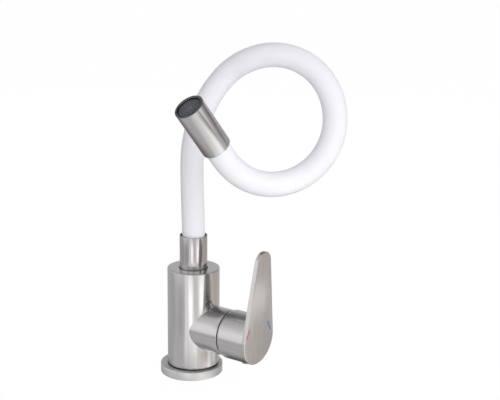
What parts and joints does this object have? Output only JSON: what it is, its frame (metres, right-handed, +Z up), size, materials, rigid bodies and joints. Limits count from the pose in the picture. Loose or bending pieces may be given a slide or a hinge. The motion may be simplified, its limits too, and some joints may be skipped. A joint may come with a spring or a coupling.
{
  "type": "kitchen faucet",
  "caption": "Single-lever kitchen faucet with a turned steel body, a side lever and a bendable silicone-covered neck that ends in a steel spray nozzle.",
  "frame": {"origin": "on the body's axis, on the sink deck under the base ring", "axes": "+Z up along the body, +X along the side branch towards the lever"},
  "size_m": [0.1621, 0.1509, 0.2905],
  "materials": {
    "steel": "fine brushed",
    "brass": "turned",
    "rubber": "matte",
    "silicone": "satin silicone",
    "ceramic": "lapped",
    "grey_plastic": "moulded",
    "dark_plastic": "moulded",
    "white_plastic": "moulded"
  },
  "bodies": {
    "base": {"base_ring": "steel", "base_gasket": "rubber", "faucet_body": "steel", "cartridge_port_seal": "rubber", "cartridge_base": "grey_plastic", "fixed_ceramic_disc": "ceramic", "cartridge_housing": "grey_plastic", "cartridge_nut": "brass", "swivel_slip_ring": "white_plastic"},
    "turret": {"cartridge_turret": "grey_plastic", "pivot_pin": "steel"},
    "lever": {"lever_spindle": "brass", "lever_handle": "steel", "lever_grub_screw": "steel", "lever_screw_plug": "grey_plastic"},
    "disc": {"moving_ceramic_disc": "ceramic", "disc_carrier": "white_plastic"},
    "spout": {"swivel_stub": "brass", "swivel_seal_lower": "rubber", "swivel_seal_upper": "rubber", "swivel_snap_ring": "white_plastic", "spout_collar": "steel", "neck_lock_nut": "brass", "neck_sleeve": "silicone", "gooseneck_core": "steel", "water_tube": "white_plastic", "nozzle_sleeve": "steel", "nozzle_fitting": "grey_plastic", "aerator_washer": "rubber", "aerator_regulator": "white_plastic", "aerator_housing": "dark_plastic", "aerator_grille": "dark_plastic"}
  },
  "joints": [
    {"name": "spout_swivel", "type": "hinge", "parent": "base", "child": "spout", "pos_m": [0, 0, 0.0868], "axis": [0, 0, 1], "continuous": true},
    {"name": "temperature_swivel", "type": "hinge", "parent": "base", "child": "turret", "pos_m": [0.0258, 0, 0.0427], "axis": [1, 0, 0], "range_deg": [-50, 50]},
    {"name": "flow_tilt", "type": "hinge", "parent": "turret", "child": "lever", "pos_m": [0.0326, 0, 0.0427], "axis": [0, 1, 0], "range_deg": [0, 25]},
    {"name": "disc_slide", "type": "slide", "parent": "turret", "child": "disc", "axis": [0, 0, 1], "range_m": [0, 0.0033]}
  ],
  "couplings": [
    {"joint": "disc_slide", "follows": "flow_tilt", "m_per_rad": 0.00726}
  ]
}
